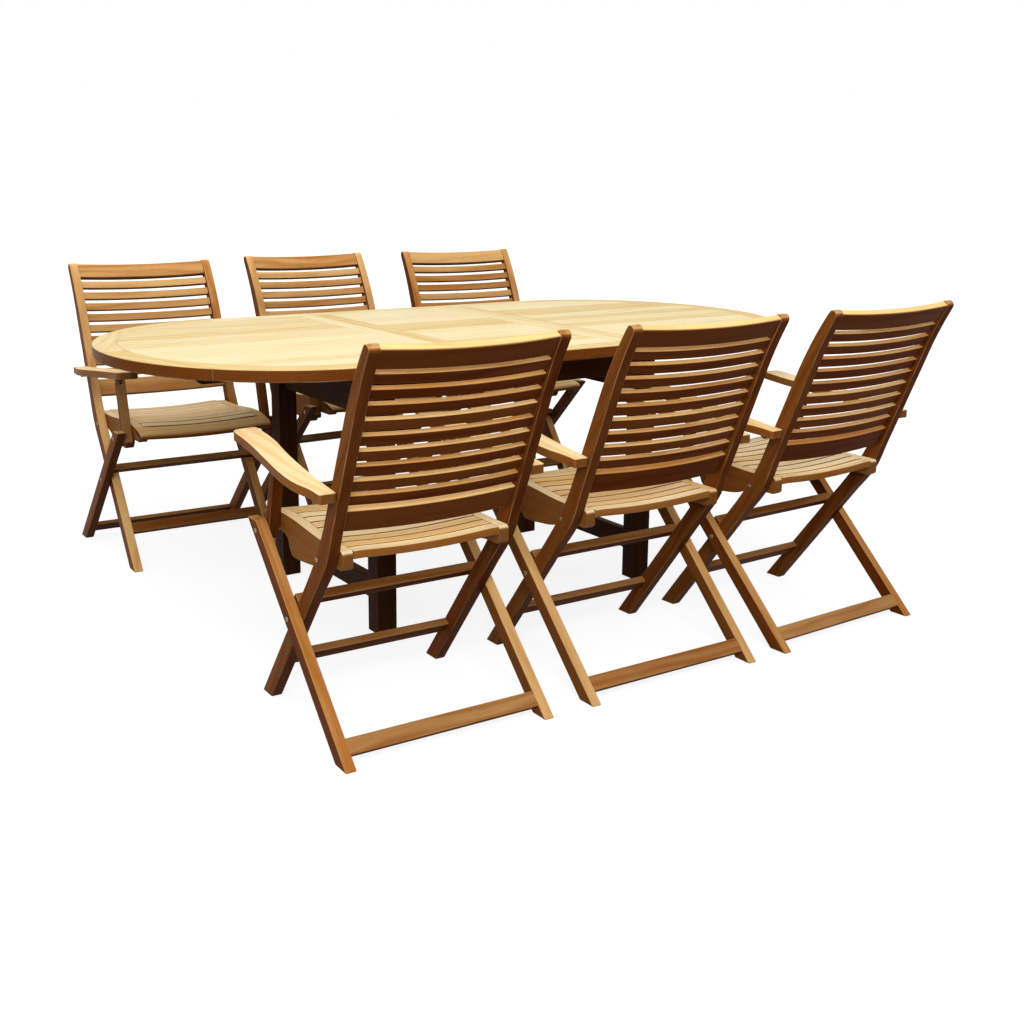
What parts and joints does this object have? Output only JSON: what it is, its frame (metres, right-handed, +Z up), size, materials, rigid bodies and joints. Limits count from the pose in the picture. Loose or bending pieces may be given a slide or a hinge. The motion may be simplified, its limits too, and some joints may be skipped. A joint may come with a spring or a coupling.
{
  "type": "patio dining set",
  "caption": "Extending oval wooden patio table with folding slatted armchairs standing along both sides.",
  "frame": {"origin": "on the floor, under the middle of the set's overall length, width and depth", "axes": "+X along the table towards its right end, +Y across the table from the near chairs to the far chairs, +Z up"},
  "size_m": [2.094, 2.3029, 0.8888],
  "materials": {
    "lit_teak": "satin oiled",
    "teak": "satin oiled",
    "dark_teak": "satin oiled"
  },
  "bodies": {
    "table_frame": {"table_left_end_rail": "dark_teak", "table_left_low_rail": "dark_teak", "table_left_near_leg": "dark_teak", "table_left_far_leg": "dark_teak", "table_right_end_rail": "dark_teak", "table_right_low_rail": "dark_teak", "table_right_near_leg": "dark_teak", "table_right_far_leg": "dark_teak", "table_near_long_rail": "dark_teak", "table_far_long_rail": "dark_teak"},
    "table_left_top": {"table_left_leaf": "lit_teak", "table_left_near_runner": "teak", "table_left_far_runner": "teak"},
    "table_right_top": {"table_right_leaf": "lit_teak", "table_right_near_runner": "teak", "table_right_far_runner": "teak"},
    "table_middle_top": {"table_middle_leaf": "lit_teak"},
    "chair_1_frame": {"chair_1_frame": "teak"},
    "chair_1_rear_legs": {"chair_1_rear_legs": "teak"},
    "chair_1_seat": {"chair_1_seat": "lit_teak"},
    "chair_1_arm_posts": {"chair_1_left_arm_post": "teak", "chair_1_right_arm_post": "teak"},
    "chair_1_arms": {"chair_1_left_arm": "lit_teak", "chair_1_right_arm": "lit_teak"},
    "chair_2_frame": {"chair_2_frame": "teak"},
    "chair_2_rear_legs": {"chair_2_rear_legs": "teak"},
    "chair_2_seat": {"chair_2_seat": "lit_teak"},
    "chair_2_arm_posts": {"chair_2_left_arm_post": "teak", "chair_2_right_arm_post": "teak"},
    "chair_2_arms": {"chair_2_left_arm": "lit_teak", "chair_2_right_arm": "lit_teak"},
    "chair_3_frame": {"chair_3_frame": "teak"},
    "chair_3_rear_legs": {"chair_3_rear_legs": "teak"},
    "chair_3_seat": {"chair_3_seat": "lit_teak"},
    "chair_3_arm_posts": {"chair_3_left_arm_post": "teak", "chair_3_right_arm_post": "teak"},
    "chair_3_arms": {"chair_3_left_arm": "lit_teak", "chair_3_right_arm": "lit_teak"},
    "chair_4_frame": {"chair_4_frame": "teak"},
    "chair_4_rear_legs": {"chair_4_rear_legs": "teak"},
    "chair_4_seat": {"chair_4_seat": "lit_teak"},
    "chair_4_arm_posts": {"chair_4_left_arm_post": "teak", "chair_4_right_arm_post": "teak"},
    "chair_4_arms": {"chair_4_left_arm": "lit_teak", "chair_4_right_arm": "lit_teak"},
    "chair_5_frame": {"chair_5_frame": "teak"},
    "chair_5_rear_legs": {"chair_5_rear_legs": "teak"},
    "chair_5_seat": {"chair_5_seat": "lit_teak"},
    "chair_5_arm_posts": {"chair_5_left_arm_post": "teak", "chair_5_right_arm_post": "teak"},
    "chair_5_arms": {"chair_5_left_arm": "lit_teak", "chair_5_right_arm": "lit_teak"},
    "chair_6_frame": {"chair_6_frame": "teak"},
    "chair_6_rear_legs": {"chair_6_rear_legs": "teak"},
    "chair_6_seat": {"chair_6_seat": "lit_teak"},
    "chair_6_arm_posts": {"chair_6_left_arm_post": "teak", "chair_6_right_arm_post": "teak"},
    "chair_6_arms": {"chair_6_left_arm": "lit_teak", "chair_6_right_arm": "lit_teak"}
  },
  "joints": [
    {"name": "table_left_top_slide", "type": "slide", "parent": "table_frame", "child": "table_left_top", "axis": [-1, 0, 0], "range_m": [0, 0.06]},
    {"name": "table_right_top_slide", "type": "slide", "parent": "table_frame", "child": "table_right_top", "axis": [1, 0, 0], "range_m": [0, 0.06]},
    {"name": "table_middle_leaf_lift", "type": "slide", "parent": "table_frame", "child": "table_middle_top", "axis": [0, 0, 1], "range_m": [0, 0.12]},
    {"name": "chair_1_pull_out", "type": "slide", "parent": "table_frame", "child": "chair_1_frame", "axis": [0, -1, 0], "range_m": [0, 0.45]},
    {"name": "chair_1_fold", "type": "hinge", "parent": "chair_1_frame", "child": "chair_1_rear_legs", "pos_m": [-0.63272, -0.77964, 0.24745], "axis": [0.9998, -0.0192, 0], "range_deg": [0, 62]},
    {"name": "chair_1_seat_fold", "type": "hinge", "parent": "chair_1_frame", "child": "chair_1_seat", "pos_m": [-0.63467, -0.88148, 0.405], "axis": [0.9998, -0.0192, 0], "range_deg": [0, 92.1]},
    {"name": "chair_1_arm_post_fold", "type": "hinge", "parent": "chair_1_rear_legs", "child": "chair_1_arm_posts", "pos_m": [-0.62957, -0.61561, 0.407], "axis": [0.9998, -0.0192, 0], "range_deg": [-168.24, 0]},
    {"name": "chair_1_arm_fold", "type": "hinge", "parent": "chair_1_arm_posts", "child": "chair_1_arms", "pos_m": [-0.63038, -0.65817, 0.57164], "axis": [0.9998, -0.0192, 0], "range_deg": [0, 84.29]},
    {"name": "chair_2_pull_out", "type": "slide", "parent": "table_frame", "child": "chair_2_frame", "axis": [0, -1, 0], "range_m": [0, 0.45]},
    {"name": "chair_2_fold", "type": "hinge", "parent": "chair_2_frame", "child": "chair_2_rear_legs", "pos_m": [-0.00887, -0.78864, 0.24745], "axis": [1, -0.0087, 0], "range_deg": [0, 62]},
    {"name": "chair_2_seat_fold", "type": "hinge", "parent": "chair_2_frame", "child": "chair_2_seat", "pos_m": [-0.00976, -0.8905, 0.405], "axis": [1, -0.0087, 0], "range_deg": [0, 92.1]},
    {"name": "chair_2_arm_post_fold", "type": "hinge", "parent": "chair_2_rear_legs", "child": "chair_2_arm_posts", "pos_m": [-0.00744, -0.62458, 0.407], "axis": [1, -0.0087, 0], "range_deg": [-168.24, 0]},
    {"name": "chair_2_arm_fold", "type": "hinge", "parent": "chair_2_arm_posts", "child": "chair_2_arms", "pos_m": [-0.00781, -0.66716, 0.57164], "axis": [1, -0.0087, 0], "range_deg": [0, 84.29]},
    {"name": "chair_3_pull_out", "type": "slide", "parent": "table_frame", "child": "chair_3_frame", "axis": [0, -1, 0], "range_m": [0, 0.45]},
    {"name": "chair_3_fold", "type": "hinge", "parent": "chair_3_frame", "child": "chair_3_rear_legs", "pos_m": [0.59648, -0.78465, 0.24745], "axis": [0.9994, 0.0349, 0], "range_deg": [0, 62]},
    {"name": "chair_3_seat_fold", "type": "hinge", "parent": "chair_3_frame", "child": "chair_3_seat", "pos_m": [0.60004, -0.88645, 0.405], "axis": [0.9994, 0.0349, 0], "range_deg": [0, 92.1]},
    {"name": "chair_3_arm_post_fold", "type": "hinge", "parent": "chair_3_rear_legs", "child": "chair_3_arm_posts", "pos_m": [0.59076, -0.62068, 0.407], "axis": [0.9994, 0.0349, 0], "range_deg": [-168.24, 0]},
    {"name": "chair_3_arm_fold", "type": "hinge", "parent": "chair_3_arm_posts", "child": "chair_3_arms", "pos_m": [0.59224, -0.66323, 0.57164], "axis": [0.9994, 0.0349, 0], "range_deg": [0, 84.29]},
    {"name": "chair_4_pull_out", "type": "slide", "parent": "table_frame", "child": "chair_4_frame", "axis": [0, 1, 0], "range_m": [0, 0.45]},
    {"name": "chair_4_fold", "type": "hinge", "parent": "chair_4_frame", "child": "chair_4_rear_legs", "pos_m": [-0.58839, 0.68165, 0.24745], "axis": [-0.9997, 0.0262, 0], "range_deg": [0, 62]},
    {"name": "chair_4_seat_fold", "type": "hinge", "parent": "chair_4_frame", "child": "chair_4_seat", "pos_m": [-0.58572, 0.78347, 0.405], "axis": [-0.9997, 0.0262, 0], "range_deg": [0, 92.1]},
    {"name": "chair_4_arm_post_fold", "type": "hinge", "parent": "chair_4_rear_legs", "child": "chair_4_arm_posts", "pos_m": [-0.59268, 0.51763, 0.407], "axis": [-0.9997, 0.0262, 0], "range_deg": [-168.24, 0]},
    {"name": "chair_4_arm_fold", "type": "hinge", "parent": "chair_4_arm_posts", "child": "chair_4_arms", "pos_m": [-0.59157, 0.5602, 0.57164], "axis": [-0.9997, 0.0262, 0], "range_deg": [0, 84.29]},
    {"name": "chair_5_pull_out", "type": "slide", "parent": "table_frame", "child": "chair_5_frame", "axis": [0, 1, 0], "range_m": [0, 0.45]},
    {"name": "chair_5_fold", "type": "hinge", "parent": "chair_5_frame", "child": "chair_5_rear_legs", "pos_m": [0.07031, 0.78865, 0.24745], "axis": [-0.9998, -0.0209, 0], "range_deg": [0, 62]},
    {"name": "chair_5_seat_fold", "type": "hinge", "parent": "chair_5_frame", "child": "chair_5_seat", "pos_m": [0.06818, 0.89048, 0.405], "axis": [-0.9998, -0.0209, 0], "range_deg": [0, 92.1]},
    {"name": "chair_5_arm_post_fold", "type": "hinge", "parent": "chair_5_rear_legs", "child": "chair_5_arm_posts", "pos_m": [0.07375, 0.62461, 0.407], "axis": [-0.9998, -0.0209, 0], "range_deg": [-168.24, 0]},
    {"name": "chair_5_arm_fold", "type": "hinge", "parent": "chair_5_arm_posts", "child": "chair_5_arms", "pos_m": [0.07286, 0.66718, 0.57164], "axis": [-0.9998, -0.0209, 0], "range_deg": [0, 84.29]},
    {"name": "chair_6_pull_out", "type": "slide", "parent": "table_frame", "child": "chair_6_frame", "axis": [0, 1, 0], "range_m": [0, 0.45]},
    {"name": "chair_6_fold", "type": "hinge", "parent": "chair_6_frame", "child": "chair_6_rear_legs", "pos_m": [0.68225, 0.76366, 0.24745], "axis": [-0.9987, 0.0506, 0], "range_deg": [0, 62]},
    {"name": "chair_6_seat_fold", "type": "hinge", "parent": "chair_6_frame", "child": "chair_6_seat", "pos_m": [0.6874, 0.86539, 0.405], "axis": [-0.9987, 0.0506, 0], "range_deg": [0, 92.1]},
    {"name": "chair_6_arm_post_fold", "type": "hinge", "parent": "chair_6_rear_legs", "child": "chair_6_arm_posts", "pos_m": [0.67395, 0.5998, 0.407], "axis": [-0.9987, 0.0506, 0], "range_deg": [-168.24, 0]},
    {"name": "chair_6_arm_fold", "type": "hinge", "parent": "chair_6_arm_posts", "child": "chair_6_arms", "pos_m": [0.6761, 0.64233, 0.57164], "axis": [-0.9987, 0.0506, 0], "range_deg": [0, 84.29]}
  ],
  "couplings": [
    {"joint": "chair_1_seat_fold", "follows": "chair_1_fold", "ratio": 1.4839},
    {"joint": "chair_1_arm_post_fold", "follows": "chair_1_fold", "ratio": -2.7119},
    {"joint": "chair_1_arm_fold", "follows": "chair_1_fold", "ratio": 1.3579},
    {"joint": "chair_2_seat_fold", "follows": "chair_2_fold", "ratio": 1.4839},
    {"joint": "chair_2_arm_post_fold", "follows": "chair_2_fold", "ratio": -2.7119},
    {"joint": "chair_2_arm_fold", "follows": "chair_2_fold", "ratio": 1.3579},
    {"joint": "chair_3_seat_fold", "follows": "chair_3_fold", "ratio": 1.4839},
    {"joint": "chair_3_arm_post_fold", "follows": "chair_3_fold", "ratio": -2.7119},
    {"joint": "chair_3_arm_fold", "follows": "chair_3_fold", "ratio": 1.3579},
    {"joint": "chair_4_seat_fold", "follows": "chair_4_fold", "ratio": 1.4839},
    {"joint": "chair_4_arm_post_fold", "follows": "chair_4_fold", "ratio": -2.7119},
    {"joint": "chair_4_arm_fold", "follows": "chair_4_fold", "ratio": 1.3579},
    {"joint": "chair_5_seat_fold", "follows": "chair_5_fold", "ratio": 1.4839},
    {"joint": "chair_5_arm_post_fold", "follows": "chair_5_fold", "ratio": -2.7119},
    {"joint": "chair_5_arm_fold", "follows": "chair_5_fold", "ratio": 1.3579},
    {"joint": "chair_6_seat_fold", "follows": "chair_6_fold", "ratio": 1.4839},
    {"joint": "chair_6_arm_post_fold", "follows": "chair_6_fold", "ratio": -2.7119},
    {"joint": "chair_6_arm_fold", "follows": "chair_6_fold", "ratio": 1.3579}
  ]
}
